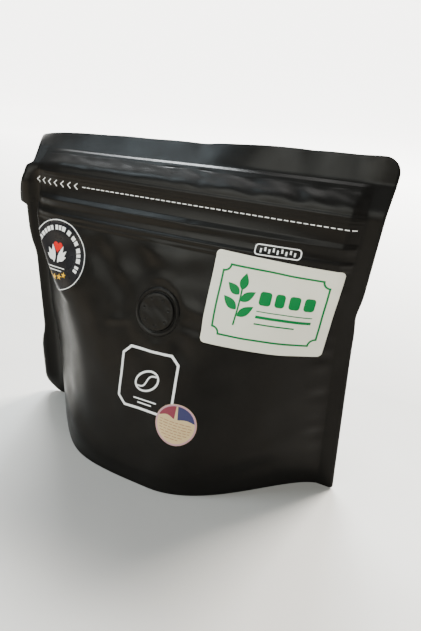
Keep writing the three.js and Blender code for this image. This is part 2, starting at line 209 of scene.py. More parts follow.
class Film:
    """The pouch's skin: two sheets out from a middle sheet that leans back towards its top."""
    thickness = 0.2
    taper = 0.29
    fill_top = 135.0
    valve_at = (-0.2, 87.6)
    ridge_at = 128.6
    rib_at = 121.8
    header_at = 156.4
    lean_from = 140.0

    def __init__(self, sizes):
        self.half_width = sizes.width / 2 / MM
        self.height = sizes.height / MM
        self.inner = self.half_width - sizes.seal / MM
        self.front = sizes.front_depth / MM
        self.back = sizes.back_depth / MM
        x, h = self.valve_at
        low, self.seat_depth, high = self.belly_front(np.full(3, x), np.array([h - 10, h, h + 10]))
        self.seat_rise = (high - low) / 20

    # Outline
    def pinch_right(self, h):
        """The seal pulls in evenly from the foot up to 98 mm, and out again above."""
        return soft_min(0.049 * h, 0.0727 * (151.3 - h), 1.0) + bump(h, 98.5, 6)

    def pinch_left(self, h):
        return 2.6 * (ramp(32, 50, h) - ramp(92, 112, h)) - 1.2

    def edge_right(self, h):
        cut = corner_cut(7.5, self.height - h) + corner_cut(2.0, h)
        return self.half_width - self.pinch_right(h) - cut

    def edge_left(self, h):
        tab = 3.9 * plateau(121.9, 124.2, 126.5, 146, h)
        upper = (2.95 * ramp(142.8, 145.8, h) - 0.28 * ease_in(h - 146.5, 2)
                 - 0.22 * ease_in(h - 157, 2))
        cut = corner_cut(1.6, self.height - h) + corner_cut(10.0, h)
        return -(self.half_width - self.pinch_left(h) + tab - upper - cut)

    # Belly
    def belly_depth(self, depth, h):
        """Full at the foot, tapering straight, and closing to nothing at the zipper."""
        filled = depth - self.taper * h - 1.2 * (1 - ramp(0, 9, h))
        return soft_max(soft_min(filled, 0.5 * (self.fill_top - h), 3.0), 0.0, 2.0)

    def between_seals(self, x, h, blend, blend_left=None):
        """1 between the side seals and 0 on them, blended over a width at each side."""
        right = self.inner - self.pinch_right(h)
        return (ramp(-self.inner - 0.3, -self.inner + (blend_left or blend), x)
                * (1 - ramp(right - blend, right + 0.3, x)))

    def belly_front(self, x, h):
        """A panel rounded off at the right, cut at the left by a steep flank along a crease."""
        high = np.minimum(h / 100, 1.0)
        peak = 8.0 * (1 - ramp(0, 90, h))
        depth = self.belly_depth(self.front, h)
        left = np.clip((peak - x) / (self.inner + peak), 0, 1)
        right = np.clip((x - peak) / (self.inner - self.pinch_right(h) - peak), 0, 1)
        flat = ramp(30, 95, h)
        panel_left = depth * (1 - mix(1, 0.3, flat) * left ** mix(4, 2, flat))
        panel_right = depth * (1 - right ** (2 + 0.8 * high)) ** (1.6 - 0.5 * high)
        panel = np.where(x < peak, panel_left, panel_right)
        reach = (0.95 + 0.5 * ramp(0, 75, h)) * np.clip((120 - h) / 42, 0.02, 1) ** 0.8
        flank = ease_in((x + self.inner) / reach, 0.4 + 2.6 * (1 - ramp(50, 112, h)))
        return np.maximum(soft_min(panel, flank, 10 - 9 * ramp(15, 88, h)), 0)

    def belly_back(self, x, h):
        side = np.where(x < 0, self.inner, self.inner - self.pinch_right(h))
        across = np.clip(np.abs(x) / side, 0, 1)
        return self.belly_depth(self.back, h) * (1 - across ** 2.6) ** 1.3

    def seated(self, x, h):
        """The front belly, kept flat where the valve sits."""
        distance = np.hypot(x - self.valve_at[0], h - self.valve_at[1])
        plane = self.seat_depth + self.seat_rise * (h - self.valve_at[1])
        return mix(plane, self.belly_front(x, h), ramp(13, 21, distance))

    # Relief
    def zipper(self, x, h):
        """The tape's step with fine lines at its top, and a ridge and a rib, each rounded below
        and cut straight above; the ridge is higher at the left."""
        tape = 0.45 * plateau(117.5, 119.2, 141.6, 142.8, h)
        lines = 0.08 * (bump(h, 140.5, 0.3) + bump(h, 139.0, 0.3))
        dent = 0.4 * bump(x, 8.3, 1.7) * bump(h, 130.0, 1.3)
        tall = mix(1.5, 0.8, ramp(-30, 30, x)) * (1 - dent + 0.04 * waves(x, 0 * x, 24, 12))
        top, edge = self.ridge_at + 0.2, self.rib_at
        ridge = tall * ramp(top - 4.2, top + 0.1, h) * (1 - facet(top, top + 2.0, h, 0.3))
        rib = 0.75 * ramp(edge - 2.4, edge + 0.3, h) * (1 - facet(edge, edge + 1.1, h, 0.2))
        return (tape + lines + ridge + rib) * self.between_seals(x, h, 1.6, 6.0)

    def head_space(self, x, h, gap):
        """The space over the fill, closing slowly over the loose cushion and with a straight step
        at the top seal's bead, highest in the middle."""
        step = 0.32 + 0.10 * bump(x, 8, 24) - 0.06 * ramp(20, 60, x)
        left = step * (1 - facet(self.header_at - 1.9, self.header_at - 0.1, h, 0.2))
        left = left + (1 - step) * (1 - ramp(143.5, self.header_at - 2.2, h))
        return gap * ramp(104, 120, h) * left * self.between_seals(x, h, 6, 16)

    def seal_line(self, x, h):
        """The crease above the loose cushion, shallow but for two nicks."""
        wander = 152.9 + 0.3 * waves(x, 0 * x, 26, 11) - 0.8 * bump(x, 32, 6)
        nicks = 0.22 * bump(x, -9, 3) + 0.18 * bump(x, 8.3, 2)
        depth = 0.05 + 0.03 * waves(x, 0 * x, 9, 13) + nicks
        return -depth * bump(h, wander, 0.5) * self.between_seals(x, h, 3, 6)

    def crumple(self, x, h):
        """Dents in the loose film between the zipper's tape and the top seal."""
        band = plateau(142.4, 146.0, 150.0, 153.0, h) * self.between_seals(x, h, 4, 10)
        slanted = x + 0.35 * (h - 148)
        dents = sum(height * bump(slanted, at, width) for at, width, height in HEADER_DENTS)
        right = ramp(-20, 10, x)
        creases = (0.04 + 0.04 * right) * waves(x, h * 1.5, 12, 21)
        return band * ((0.24 + 0.05 * right) * dents + creases)

    def panel(self, x, h):
        """1 over the panel below the zipper, fading out towards its borders."""
        return plateau(3, 16, 112, 122, h) * self.between_seals(x, h, 10)

    def panel_folds(self, x, h):
        """Soft folds round the valve and at the foot, a lip at the valve's upper right, a slow
        drift over the whole panel, and puckers along the right seal."""
        away, up = x - self.valve_at[0], h - self.valve_at[1]
        distance = np.hypot(away, up)
        folds = sum(fold(x, h, *line) for line in VALVE_FOLDS + FOOT_FOLDS)
        folds = folds * self.between_seals(x, h, 8) * (1 - ramp(114, 121, h))
        lip = 0.35 * bump(distance, 14.0, 1.4) * bump(np.arctan2(up, away), 0.85, 0.6)
        drift = 0.28 * waves(x, h, 46, 31) + 0.10 * waves(x, h, 17, 32)
        inset = self.inner - self.pinch_right(h) - x
        pucker = 0.22 * waves(h, 0 * h, 11, 33) * bump(inset, 5, 4.5)
        return (folds * ramp(11.8, 16, distance) + lip
                + self.panel(x, h) * ramp(12, 22, distance) * drift
                + pucker * plateau(10, 25, 108, 118, h))

    def fin_relief(self, x, h):
        """A pressed line along the right seal, and the tab's embossed arc."""
        inset = x - (self.inner - self.pinch_right(h))
        step = 0.16 * bump(inset, 0.5, 0.35) * ramp(4, 8, h)
        arc = np.hypot((x + 86.5) / 8.2, (h - 132.5) / 10.5)
        emboss = 0.3 * bump(arc, 1.0, 0.07) * (1 - ramp(-91.5, -90, x)) * ramp(122, 126, h)
        return step + emboss * (1 - ramp(139, 142, h))

    def depth_front(self, x, h):
        return (self.thickness + self.seated(x, h) + self.head_space(x, h, 2.0) + self.zipper(x, h)
                + self.seal_line(x, h) + self.crumple(x, h) + self.panel_folds(x, h)
                + self.fin_relief(x, h))

    def depth_back(self, x, h):
        """The back belly with a drift, a softer zipper and bead, and a wavy cushion above."""
        drift = 0.45 * waves(x, h, 44, 41) + 0.16 * waves(x, h, 18, 42)
        cushion = plateau(142.8, 145.2, 150.6, 153, h) * self.between_seals(x, h, 4)
        tape = 0.35 * plateau(117.5, 119, 142, 143, h)
        ridges = 0.7 * bump(h, self.ridge_at, 2.2) + 0.4 * bump(h, self.rib_at, 1.6)
        return (self.thickness + self.belly_back(x, h) + self.head_space(x, h, 1.4)
                + self.panel(x, h) * drift + cushion * 0.28 * waves(x, h, 18, 43)
                + 0.3 * bump(h, self.header_at - 0.3, 0.6)
                + (tape + ridges) * self.between_seals(x, h, 1.2))

    # Middle sheet
    def middle(self, x, h, steps=26):
        """Sums the leaning sheet up along the film; the left seal's edge curls forward."""
        outward = np.clip((-self.inner - x) / (self.half_width - self.inner), 0, 1)
        y = -3.2 * outward ** 1.5 * plateau(0, 14, 134, 146, h)
        if np.all(h <= self.lean_from):
            return y, h + 0 * x, 0 * x
        loose = np.radians(mix(51, 35, ramp(-85, 85, x)))
        band = mix(42, 23, ramp(0, 42, x)) - 13 * ramp(76, 90, x)
        band = band + 18 * np.exp(-(x + self.half_width) / 20)
        band = band + 3 * bump(x, 4, 6) + 4 * bump(x, 57, 5) + 0.4 * waves(x, 0 * x, 30, 51)
        band = np.radians(band)

        def lean(at):
            return mix(loose * ramp(self.lean_from, 147, at), band, ramp(155.9, 158.4, at))

        start = np.minimum(h, self.lean_from)
        step = (h - start) / steps
        z = start + 0 * x
        for i in range(steps):
            angle = lean(start + (i + 0.5) * step)
            y = y + np.sin(angle) * step
            z = z + np.cos(angle) * step
        return y, z, lean(h)

    def sheet(self, x, h, depth, side):
        y, z, angle = self.middle(x, h)
        out = side * depth
        return np.stack([x + 0 * y, y - out * np.cos(angle), z + out * np.sin(angle)], -1)

    def on_front(self, x, h, lift=0.0):
        """A place on the front skin, moved out along the skin's normal by lift."""
        step = 0.1
        here, across, up = (self.sheet(x + dx, h + dh, self.depth_front(x + dx, h + dh), 1)
                            for dx, dh in ((0.0, 0.0), (step, 0.0), (0.0, step)))
        return here + unit(np.cross(across - here, up - here)) * np.asarray(lift)[..., None]

    def walk(self, x, h, distance, steps=24):
        """Goes a distance along the film, across it, and returns the x it reaches."""
        x = x + 0 * distance
        for _ in range(steps):
            slope = (self.seated(x + 0.2, h) - self.seated(x - 0.2, h)) / 0.4
            x = x + distance / steps / np.hypot(1, slope)
        return x


# Mesh building

def quads_of(index):
    """Quads between neighbours of a table of point numbers."""
    corners = index[:-1, :-1], index[:-1, 1:], index[1:, 1:], index[1:, :-1]
    return np.stack([c.ravel() for c in corners], -1)


def strip(low, high):
    """Quads between two equally long lines of point numbers."""
    return quads_of(np.stack([low, high]))


def looped(index):
    """Point numbers with the first repeated after the last, which closes a ring."""
    return np.concatenate([index, index[..., :1]], -1)


def new_object(name, points, faces, material):
    """A smoothly shaded mesh object in the scene, from points in metres."""
    mesh = bpy.data.meshes.new(name)
    mesh.from_pydata(points, [], faces)
    if mesh.validate():
        raise RuntimeError(f"{name}: its mesh has faces that can't be kept")
    mesh.polygons.foreach_set("use_smooth", np.ones(len(mesh.polygons), dtype=bool))
    mesh.materials.append(material)
    made = bpy.data.objects.new(name, mesh)
    bpy.context.scene.collection.objects.link(made)
    return made


def add_piece(name, points, faces, material, replaces=None, sharp=None):
    """Makes a piece of the pouch in the frame, from points in millimetres and groups of faces."""
    polygons = [face for group in faces for face in np.asarray(group).tolist()]
    piece = new_object(name, (np.asarray(points) * MM).tolist(), polygons, material)
    if sharp:
        piece.data.set_sharp_from_angle(angle=radians(sharp))
    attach(piece, BODY)
    if replaces:
        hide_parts(replaces)


class Decal:
    """Flat shapes laid on the film round a centre, all in one mesh.

    A shape is given in the decal's own flat millimetres, a across and b up. It becomes a thin slab
    from sunk below the layer that it lies on up to its own thickness.
    """
    def __init__(self, film, centre, turn=0.0, height=0.0, thickness=0.05, sunk=0.03):
        self.film, self.centre, self.turn = film, centre, radians(turn)
        self.low, self.high = height - sunk, height + thickness
        x, h = np.full(2, centre[0]), np.array([centre[1] - 4, centre[1] + 4])
        rise = np.diff(film.seated(x, h))[0] / 8
        self.upright = 1 / np.hypot(1, rise)
        self.points, self.faces, self.count = [], [], 0

    def place(self, a, b):
        """From the flat decal to the film: turned, shortened upwards by the film's slope, and
        walked out across the film from the centre."""
        across = a * cos(self.turn) - b * sin(self.turn)
        up = a * sin(self.turn) + b * cos(self.turn)
        h = self.centre[1] + up * self.upright
        return self.film.walk(self.centre[0], h, across), h

    def _add(self, parts, faces):
        self.points += parts
        self.faces += [np.asarray(group) + self.count for group in faces]
        self.count += sum(len(part) for part in parts)

    def patch(self, outline, rings=3, centre=(0.0, 0.0), edge=0.0):
        """A filled outline that its centre sees all of: rings shrunk towards the centre, over a
        copy of them below, with a wall round the edge. edge rounds the rim down a little."""
        outline, centre = np.asarray(outline), np.asarray(centre)
        count = len(outline)
        shares = np.linspace(0, 1, rings + 1)[1:]
        if edge:
            shares = np.append(shares, 1.0)
            shares[-2] = 1.0 - edge
        spread = centre + shares[:, None, None] * (outline - centre)
        x, h = self.place(*np.concatenate([[centre], spread.reshape(-1, 2)]).T)
        lift = np.full(len(x), self.high)
        if edge:
            lift[-count:] = mix(self.low, self.high, 0.55)
        faces = []
        for shift, turn in ((0, 1), (len(x), -1)):
            ring = looped(shift + 1 + np.arange(count))
            faces.append(np.stack([np.full(count, shift), ring[:-1], ring[1:]], -1)[:, ::turn])
            faces += [strip(ring + r * count, ring + (r + 1) * count)[:, ::-turn]
                      for r in range(len(shares) - 1)]
        rim = looped(1 + (len(shares) - 1) * count + np.arange(count))
        faces.append(strip(rim, rim + len(x))[:, ::-1])
        self._add([self.film.on_front(x, h, lift), self.film.on_front(x, h, self.low)], faces)

    def stroke(self, path, width, closed=False):
        """A line of a width along a path: left and right edges, above and below."""
        path = np.asarray(path, dtype=float)
        if closed:
            ahead, behind = np.roll(path, -1, 0), np.roll(path, 1, 0)
        else:
            ahead = np.concatenate([path[1:], path[-1:] * 2 - path[-2:-1]])
            behind = np.concatenate([path[:1] * 2 - path[1:2], path[:-1]])
        before = unit(path - behind)
        along = unit(before + unit(ahead - path))
        side = np.stack([-along[:, 1], along[:, 0]], -1)
        mitre = np.clip((along * before).sum(1), 0.5, 1)[:, None]
        half = side * width / 2 / mitre
        left, right = (self.place(*edge.T) for edge in (path + half, path - half))
        corners = [self.film.on_front(*edge, lift) for edge, lift in (
            (left, self.high), (right, self.high), (right, self.low), (left, self.low))]
        lines = np.arange(4 * len(path)).reshape(4, -1)
        if closed:
            lines = looped(lines)
        faces = [strip(lines[k], lines[(k + 1) % 4])[:, ::-1] for k in range(4)]
        if not closed:
            faces += [[lines[:, 0]], [lines[::-1, -1]]]
        self._add(corners, faces)

    def rule(self, start, end, row, width):
        """A straight line across, from one place to another."""
        self.stroke(fine_path([(start, row), (end, row)]), width)

    def leaf(self, size, width, at, turn):
        """A leaf, filled out from a point on its middle line."""
        middle = np.array(at) + turned([(0, size * 0.45)], turn)[0]
        self.patch(leaf(size, width, at, turn), centre=middle)

    def piece(self, name, material, slot, replaces=None):
        add_piece(name, np.concatenate(self.points), self.faces, material, replaces, sharp=50)


# Flat outlines, in millimetres

def circle(radius, count):
    turn = np.linspace(0, tau, count, endpoint=False)
    return radius * np.stack([np.cos(turn), np.sin(turn)], -1)


def arc(radius, start, end, count=24, centre=(0.0, 0.0)):
    turn = np.radians(np.linspace(start, end, count))
    return np.stack([centre[0] + radius * np.cos(turn), centre[1] + radius * np.sin(turn)], -1)


def rounded_box(width, height, corner, per_corner=6, per_side=8, centre=(0.0, 0.0)):
    """Four quarter circles joined by straight sides, anticlockwise."""
    w, h = width / 2 - corner, height / 2 - corner
    parts = []
    corners = [(w, h, 0), (-w, h, 90), (-w, -h, 180), (w, -h, 270)]
    for k, (cx, cy, start) in enumerate(corners):
        bend = arc(corner, start, start + 90, per_corner, (cx, cy))
        next_x, next_y, turn = corners[(k + 1) % 4]
        turn = radians(turn)
        goal = np.array([next_x + corner * cos(turn), next_y + corner * sin(turn)])
        share = np.linspace(0, 1, per_side + 1)[1:-1, None]
        parts += [bend, mix(bend[-1], goal, share)]
    return np.concatenate(parts) + np.asarray(centre)


def chamfered_box(size, chamfer):
    """A square with its corners cut off straight."""
    a, b = size / 2, size / 2 - chamfer
    ring = np.array([(a, -b), (a, b), (b, a), (-b, a), (-a, b), (-a, -b), (-b, -a), (b, -a)])
    return fine_path(np.concatenate([ring, ring[:1]]))[:-1]


def fine_path(corners, step=1.2):
    """A broken line with more points put in along each of its sides, a step apart at most."""
    corners = np.asarray(corners, dtype=float)
    parts = []
    for start, end in zip(corners[:-1], corners[1:]):
        count = max(1, int(np.ceil(np.hypot(*(end - start)) / step)))
        parts.append(mix(start, end, np.linspace(0, 1, count, endpoint=False)[:, None]))
    return np.concatenate([*parts, corners[-1:]])


def leaf(length_mm, width, at, turn, count=20):
    """A leaf with two pointed ends: half sine sides, wider near its foot."""
    t = np.linspace(0, 1, count)
    side = width / 2 * np.sin(pi * t ** 0.8)
    right = np.stack([side, t * length_mm], -1)
    left = np.stack([-side, t * length_mm], -1)[::-1][1:-1]
    return turned(np.concatenate([right, left]), turn) + np.asarray(at)


def turned(points, degrees):
    c, s = cos(radians(degrees)), sin(radians(degrees))
    return np.asarray(points) @ np.array([[c, s], [-s, c]])


def star(radius, at):
    """Five points, between an outer and an inner circle."""
    angle = np.radians(90 + 36 * np.arange(10))
    reach = radius * np.where(np.arange(10) % 2 == 0, 1, 0.42)
    return np.stack([at[0] + reach * np.cos(angle), at[1] + reach * np.sin(angle)], -1)


def heart(size, at, count=36):
    """The usual heart curve of sines and cosines, 32 units across, brought to a size."""
    t = np.linspace(0, tau, count, endpoint=False)
    x = 16 * np.sin(t) ** 3
    y = 13 * np.cos(t) - 5 * np.cos(2 * t) - 2 * np.cos(3 * t) - np.cos(4 * t)
    return np.stack([x, y], -1)[::-1] * size / 32 + np.asarray(at)


# Materials

class Nodes:
    """A short way to add nodes to a tree and to join them."""
    def __init__(self, tree):
        self.tree = tree

    def add(self, kind, inputs=None, **settings):
        node = self.tree.nodes.new(kind)
        for key, value in settings.items():
            setattr(node, key, value)
        for key, value in (inputs or {}).items():
            self.feed(node.inputs[key], value)
        return node

    def feed(self, socket, value):
        """Links a socket to another node's, or sets it to a plain value."""
        if isinstance(value, bpy.types.NodeSocket):
            self.tree.links.new(value, socket)
        else:
            socket.default_value = value

    def place(self):
        return self.add("ShaderNodeTexCoord").outputs["Object"]

    def math(self, operation, one, two):
        return self.add("ShaderNodeMath", {0: one, 1: two}, operation=operation).outputs[0]

    def spread(self, value, low, high, to_low=0.0, to_high=1.0):
        return self.add("ShaderNodeMapRange", {0: value, 1: low, 2: high, 3: to_low, 4: to_high},
                        clamp=True).outputs[0]

    def noise(self, place, scale, detail, roughness=0.5):
        return self.add("ShaderNodeTexNoise", {"Vector": place, "Scale": scale, "Detail": detail,
                                               "Roughness": roughness}).outputs[0]

    def between(self, share, one, two):
        """Between two numbers."""
        return self.add("ShaderNodeMix", {0: share, 2: one, 3: two}, data_type='FLOAT').outputs[0]

    def blend(self, share, one, two):
        """Between two colours."""
        return self.add("ShaderNodeMix", {0: share, 6: one, 7: two}, data_type='RGBA').outputs[2]


def fine_grain(nodes, grain_size, unevenness_size, grain_share, low, high):
    """Small-scale surface: a fine grain over a softer unevenness, and a patchy roughness."""
    place = nodes.place()
    grain = nodes.noise(place, nodes.math('DIVIDE', MM_PER_METRE, grain_size), 2.0, 0.6)
    soft = nodes.noise(place, nodes.math('DIVIDE', MM_PER_METRE, unevenness_size), 3.0)
    rough = nodes.between(nodes.spread(soft, 0.3, 0.7), low, high)
    return nodes.between(grain_share, soft, grain), rough


def dust_and_scuffs(nodes, speck_size, speck_amount, scuff_amount):
    """Specks of dust and short hair-fine scuffs, as masks."""
    place = nodes.place()
    scale = nodes.math('DIVIDE', MM_PER_METRE, speck_size)
    cells = nodes.add("ShaderNodeTexVoronoi", {"Vector": place, "Scale": scale}).outputs
    near = nodes.spread(cells["Distance"], 0.0, 0.16, 1.0, 0.0)
    chance = nodes.add("ShaderNodeSeparateColor", {0: cells["Color"]}).outputs[0]
    kept = nodes.math('LESS_THAN', chance, speck_amount)
    stretched = nodes.add("ShaderNodeMapping", {"Vector": place, "Scale": (260.0, 260.0, 2600.0),
                                                "Rotation": (0.5, 0.35, 0.9)}).outputs[0]
    fine = nodes.spread(nodes.noise(stretched, 1.0, 1.0), 0.66, 0.74)
    where = nodes.spread(nodes.noise(place, 38.0, 2.0), 0.5, 0.7)
    scuffs = nodes.math('MULTIPLY', nodes.math('MULTIPLY', fine, where), scuff_amount)
    return nodes.math('MULTIPLY', near, kept), scuffs


# Shared effects: what fills each group, the numbers that it is given and those that it returns
GROUPS = {
    "Fine grain": (fine_grain, {"Grain size": 0.3, "Unevenness size": 6.0, "Grain share": 0.5,
                                "Roughness low": 0.35, "Roughness high": 0.45},
                   ("Height", "Roughness")),
    "Dust and scuffs": (dust_and_scuffs, {"Speck size": 1.2, "Speck amount": 0.12,
                                          "Scuff amount": 0.3}, ("Specks", "Scuffs")),
}


def shared_group(name):
    """The node group of that name, made when it is first asked for."""
    if name in bpy.data.node_groups:
        return bpy.data.node_groups[name]
    fill, inputs, outputs = GROUPS[name]
    group = bpy.data.node_groups.new(name, 'ShaderNodeTree')
    for label, value in inputs.items():
        socket = group.interface.new_socket(label, in_out='INPUT', socket_type='NodeSocketFloat')
        socket.default_value = value
    for label in outputs:
        group.interface.new_socket(label, in_out='OUTPUT', socket_type='NodeSocketFloat')
    nodes = Nodes(group)
    given = nodes.add("NodeGroupInput").outputs
    results = fill(nodes, *(given[label] for label in inputs))
    nodes.add("NodeGroupOutput", dict(zip(outputs, results)))
    return group


def finish_material(name, base, roughness, grain=0.3, uneven=6.0, grain_share=0.5,
                    bump_height=0.02, specks=0.0, scuffs=0.0, dust=(0.30, 0.29, 0.27, 1.0),
                    mottled=0.12, specular=0.5, reflected=(1.0, 1.0, 1.0, 1.0)):
    """A surface finish: a base colour that varies a little, a patchy roughness between two values,
    a grain in millimetres, and dust and scuffs where wanted."""
    material = bpy.data.materials.new(name)
    material.use_nodes = True
    nodes = Nodes(material.node_tree)
    fine = nodes.add("ShaderNodeGroup", {
        "Grain size": grain, "Unevenness size": uneven, "Grain share": grain_share,
        "Roughness low": roughness[0], "Roughness high": roughness[1]},
        node_tree=shared_group("Fine grain")).outputs
    cloud = nodes.spread(nodes.noise(nodes.place(), 24.0, 3.0), 0.35, 0.65)
    dark, light = ([min(1.0, c * (1 + change)) for c in base[:3]] + [1.0]
                   for change in (-mottled, mottled))
    tone = nodes.blend(cloud, dark, light)
    if specks or scuffs:
        worn = nodes.add("ShaderNodeGroup", {"Speck amount": specks, "Scuff amount": scuffs},
                         node_tree=shared_group("Dust and scuffs")).outputs
        tone = nodes.blend(nodes.math('MAXIMUM', worn["Specks"], worn["Scuffs"]), tone, dust)
    relief = nodes.add("ShaderNodeBump", {"Strength": 1.0, "Distance": bump_height * MM,
                                          "Height": fine["Height"]}).outputs[0]
    shader = material.node_tree.nodes["Principled BSDF"].inputs
    for key, value in (("Base Color", tone), ("Roughness", fine["Roughness"]), ("Normal", relief),
                       ("Specular IOR Level", specular), ("Specular Tint", reflected)):
        nodes.feed(shader[key], value)
    return material


def black_film(name, base, **settings):
    """The finish of the pouch's film and of the film over its valve: a warm, dull shine."""
    return finish_material(name, base, (0.28, 0.36), specks=0.02, dust=(0.02, 0.019, 0.017, 1.0),
                           reflected=(1.0, 0.94, 0.86, 1.0), **settings)


# Pieces

def pouch_rows(film):
    """Heights of the pouch's rows: closer at the rounded corners and over the zipper."""
    foot = 10 * (1 - np.cos(np.linspace(0, pi / 2, 13)))
    top = film.height - 7.5 + 7.5 * np.sin(np.linspace(0, pi / 2, 17))
    bands = [(10, 72, 40), (72, 104, 40), (104, 117, 10), (117, 127, 24), (127, 131.5, 20),
             (131.5, 138, 12), (138, 143.4, 24), (143.4, 152, 22), (152, 157, 32),
             (157, film.height - 7.5, 7)]
    parts = [np.linspace(low, high, count, endpoint=False) for low, high, count in bands]
    return np.concatenate([foot[:-1], *parts, top])


def pouch_columns(film, rows, belly=160, fin=6):
    """Across each row: the seals' columns, and the belly's, closer towards its sides."""
    left, right = film.edge_left(rows)[:, None], film.edge_right(rows)[:, None]
    inner_left = np.maximum(-film.inner, left + 0.6)
    inner_right = np.minimum(film.inner - film.pinch_right(rows)[:, None], right - 0.6)
    share = np.linspace(0, 1, fin, endpoint=False)[None]
    even = np.linspace(0, 1, belly)[None]
    eased = mix(even, 0.5 - 0.5 * np.cos(pi * even), 0.6)
    return np.concatenate([mix(left, inner_left, share), mix(inner_left, inner_right, eased),
                           mix(right, inner_right, share[:, ::-1])], axis=1)


def pouch_underside(film, x, steps=15):
    """Per column: up a short skirt from the front's lower edge to the gusset's seal, across the
    gusset, which sags to the table in the middle, and down to the back's lower edge."""
    front, back = film.depth_front(x, 0 * x), film.depth_back(x, 0 * x)
    deep = front + back
    lip = np.minimum(0.7, 0.2 * deep)
    seal = 5.0 + 22.0 * np.minimum(np.abs(x) / film.inner, 1) ** 2.4
    top = np.maximum(0, np.minimum(seal, 0.8 * (deep - 3)))
    front_top = -film.depth_front(x, top) + 1.6 * lip
    back_top = film.depth_back(x, top) - 1.6 * lip
    share = np.linspace(0, 1, steps)[None]
    sag = (1 - 0.7 * ramp(32, 58, np.abs(x)))[:, None] * plateau(0, 0.3, 0.7, 1, share)
    wrinkle = 0.35 * waves(x[:, None], share * 60, 16, 61) * ramp(30, 50, np.abs(x))[:, None] * sag
    y = mix(front_top[:, None], back_top[:, None], share)
    z = np.maximum(top[:, None] * (1 - sag) + wrinkle, 0)
    skirt_front = np.stack([-front + lip, 0 * x], -1)
    skirt_back = np.stack([back - lip, 0 * x], -1)
    y = np.concatenate([skirt_front[:, :1], y, skirt_back[:, :1]], 1)
    z = np.concatenate([0 * y[:, :1], z, 0 * y[:, :1]], 1)
    return np.stack([np.broadcast_to(x[:, None], y.shape), y, z], -1)


def make_pouch(film, material):
    """Rings from the foot to the top: along the front from left to right and back behind."""
    rows = pouch_rows(film)
    x = pouch_columns(film, rows)
    h = np.broadcast_to(rows[:, None], x.shape)
    front = film.sheet(x, h, film.depth_front(x, h), 1)
    back = film.sheet(x, h, film.depth_back(x, h), -1)[:, ::-1]
    across = x.shape[1]
    ring = 2 * across
    index = np.arange(len(rows) * ring).reshape(len(rows), ring)
    cap = strip(index[-1, :across], index[-1, :across - 1:-1])
    under = pouch_underside(film, x[0, 1:-1])
    inner = index.size + np.arange(under.size // 3).reshape(under.shape[:2])
    line = index[0, 1:across - 1, None]
    whole = np.concatenate([line, inner, ring - 1 - line], 1)
    points = np.concatenate([np.concatenate([front, back], 1).reshape(-1, 3), under.reshape(-1, 3)])
    faces = [quads_of(looped(index)), cap, quads_of(whole), end_fan(whole[0], 0, ring - 1, True),
             end_fan(whole[-1], across - 1, across, False)]
    add_piece("pouch_film", points, faces, material, "pouch")


def end_fan(column, front, back, turn):
    """Closes the underside at a side seal: triangles from the seal's two corner points."""
    half = len(column) // 2
    apex = np.where(np.arange(len(column) - 1) < half, front, back)
    fan = np.stack([apex, column[1:], column[:-1]], -1)
    fan = np.concatenate([fan, [[front, back, column[half]]]])
    return fan if turn else fan[:, ::-1]


def make_valve(film, diameter, material):
    """A turned profile seen from outside, with pinholes near the disc's rim: height over radius
    and turn, set square to the flat seat in the film."""
    radius = diameter / 2
    disc_edge = radius * 0.70
    r = np.concatenate([np.linspace(0, disc_edge, 26), np.linspace(disc_edge, radius, 34)[1:]])
    turn = np.linspace(0, tau, 200, endpoint=False)
    rr, tt = np.meshgrid(r, turn, indexing="ij")
    disc = 0.95 * (1 - ramp(radius * 0.735, radius * 0.79, rr))
    disc = disc + 0.05 * bump(rr, radius * 0.66, 0.5)
    flange = 0.55 * (1 - ramp(radius - 0.4, radius, rr)) + 0.28 * bump(rr, radius * 0.90, 0.55)
    groove = -0.22 * bump(rr, radius * 0.80, 0.3)
    height = disc + flange + groove + 0.05 * waves(rr * np.cos(tt), rr * np.sin(tt), 7, 71)
    for k in range(7):
        angle, reach = tau * (k + 0.3) / 7, radius * 0.56
        gap = np.hypot(rr * np.cos(tt) - reach * cos(angle), rr * np.sin(tt) - reach * sin(angle))
        height = height - 0.42 * bump(gap, 0, 0.42) + 0.07 * bump(gap, 0.8, 0.3)
    x0, h0 = film.valve_at
    slope = np.arctan(film.seat_rise)
    out = np.array([0.0, -cos(slope), -sin(slope)])
    up = np.array([0.0, -sin(slope), cos(slope)])
    foot = np.array([x0, -(film.thickness + film.seat_depth), h0])

    def place(across, rise, lift):
        right = np.array([1.0, 0.0, 0.0])
        return foot + across[..., None] * right + rise[..., None] * up + lift[..., None] * out

    top = place(rr * np.cos(tt), rr * np.sin(tt), height + 0.02)
    sunk = -0.12
    rim = place(radius * np.cos(tt[-1:]), radius * np.sin(tt[-1:]), np.full((1, len(turn)), sunk))
    centre = place(np.zeros(1), np.zeros(1), np.full(1, sunk))
    rings = np.concatenate([top, rim]).reshape(-1, 3)
    index = looped(np.arange(len(rings)).reshape(-1, len(turn)))
    fans = [np.stack([np.full(len(turn), hub), line[:-1], line[1:]], -1)
            for hub, line in ((0, index[1]), (len(rings), index[-1]))]
    faces = [quads_of(index[1:])[:, ::-1], fans[0], fans[1][:, [0, 2, 1]]]
    points = np.concatenate([rings, centre])
    add_piece("valve_cap", points, faces, material, "valve")


# Where things are stuck on or printed, as (x, h), how they are turned, and the labels' thickness
LABEL_AT, LABEL_TURN, LABEL_SHEET = (52.2, 98.6), -2.6, 0.16
ROUND_AT, ROUND_SHEET = (-67.0, 101.2), 0.14
SMALL_AT, SMALL_TURN, SMALL_SHEET = (18.6, 37.0), -4.0, 0.12
EMBLEM_AT, TEAR_LINE_AT, ZIPPER_MARK_AT = (0.0, 54.0), (0.0, 136.7), (51.8, 123.5)


# Building steps

def chosen_settings(context):
    """What each building step works from: the film as the sizes make it, sizes and colours."""
    sizes = context.scene.pouch_sizes
    return Film(sizes), sizes, context.scene.pouch_colours


